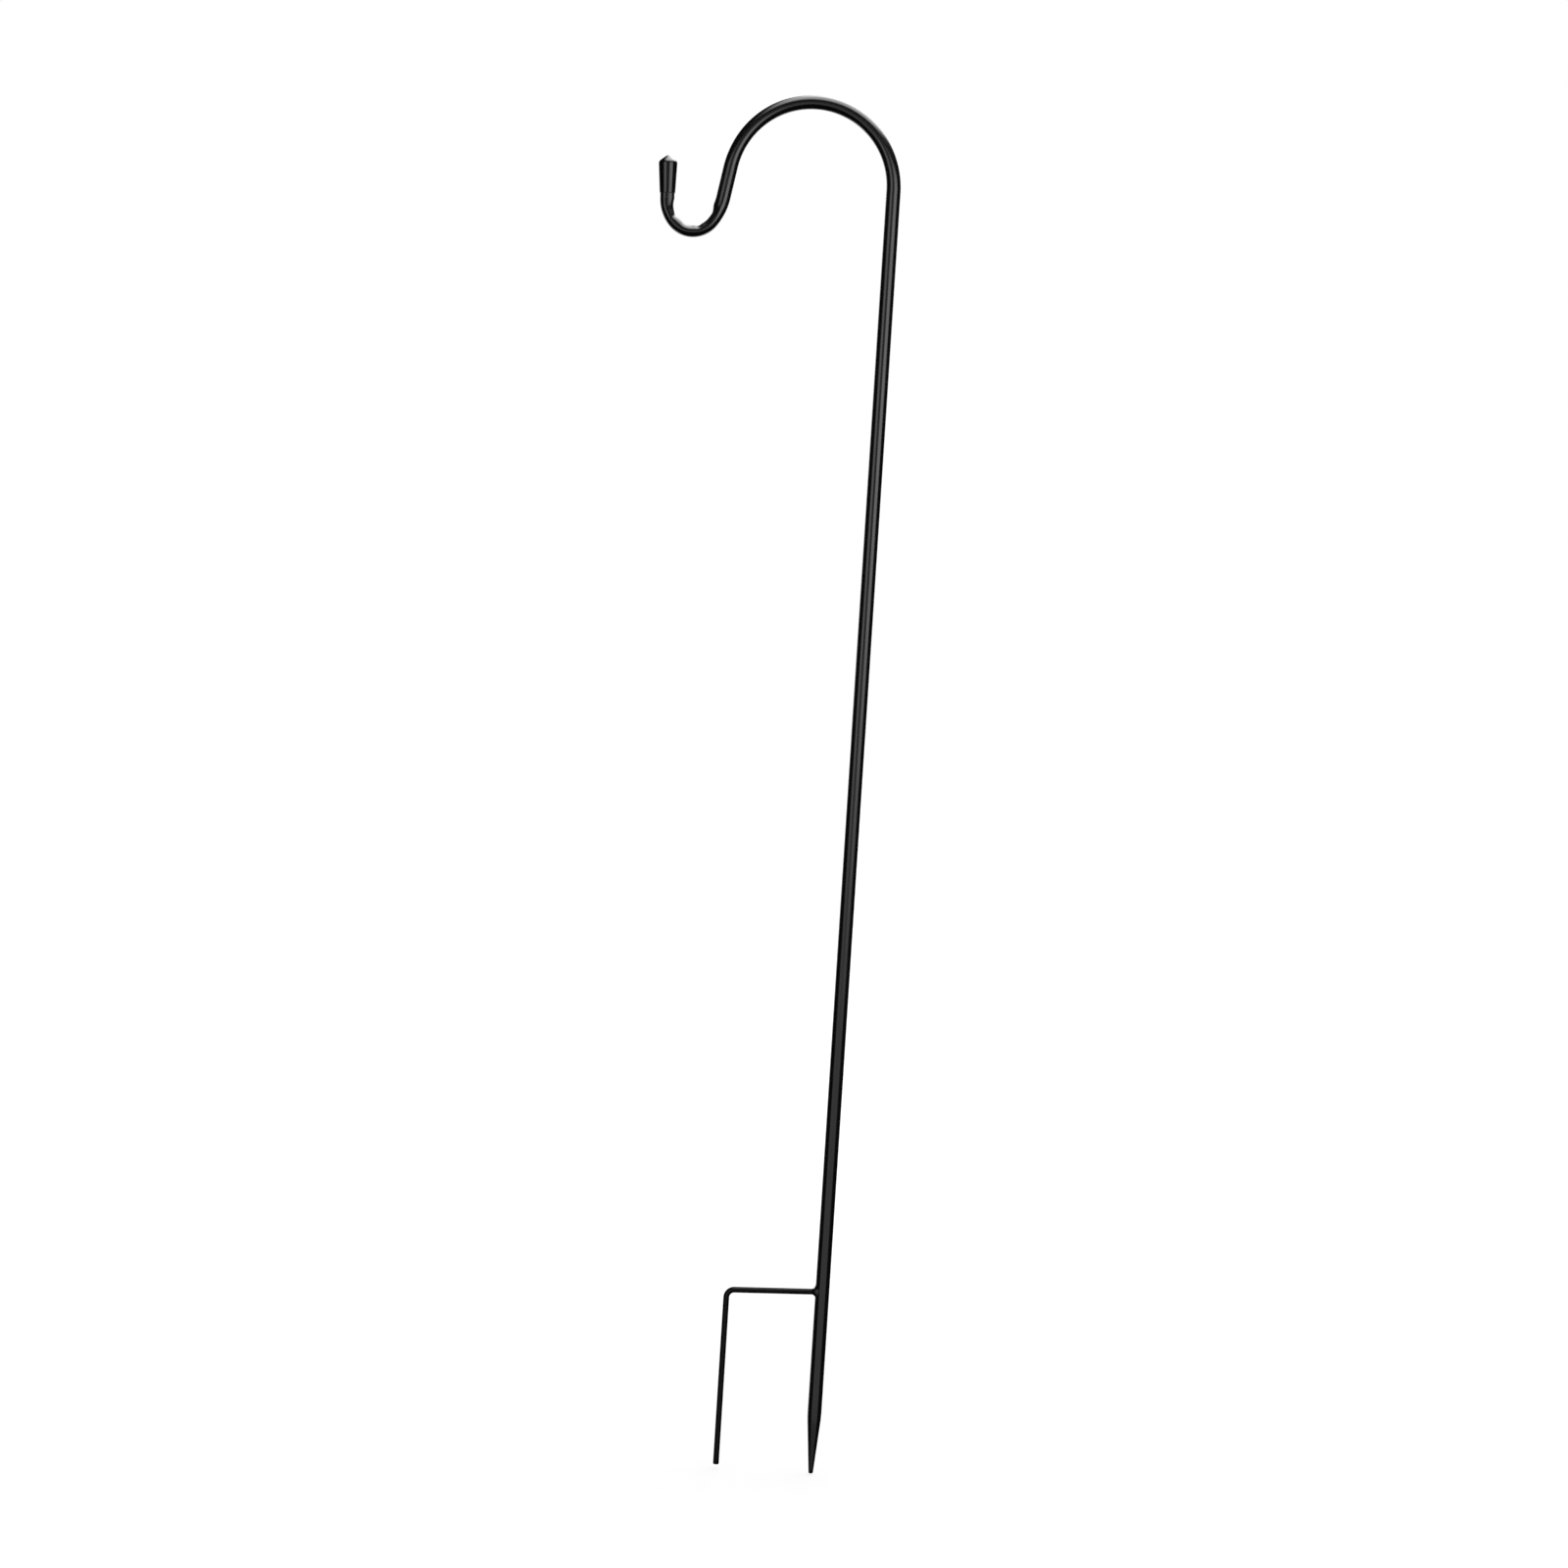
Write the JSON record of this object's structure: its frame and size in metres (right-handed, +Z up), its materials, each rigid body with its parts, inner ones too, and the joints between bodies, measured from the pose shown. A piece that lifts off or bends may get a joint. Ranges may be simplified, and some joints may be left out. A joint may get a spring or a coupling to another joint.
{
  "type": "shepherds hook",
  "caption": "Pointed garden crook of bent, black-coated steel tube, with an upturned hook under a flared end cap and a welded wire step prong beside the stake.",
  "frame": {"origin": "on the shaft's axis at the soil line, level with the underside of the step bar's outer end", "axes": "+Z up along the shaft, -X towards the hook and the step prong, Y square to the plane of the bent tube"},
  "size_m": [0.2095, 0.0164, 1.2],
  "materials": {
    "powder_coated_tube": "semi-gloss black powder coat on steel tube",
    "powder_coated_wire": "semi-gloss black powder coat on steel wire",
    "powder_coated_weld": "black powder coat over a rippled weld fillet",
    "moulded_vinyl": "glossy black moulded vinyl"
  },
  "bodies": {
    "root": {"crook_tube": "powder_coated_tube", "step_prong": "powder_coated_wire", "prong_weld_bead": "powder_coated_weld", "hook_end_cap": "moulded_vinyl"}
  },
  "joints": []
}
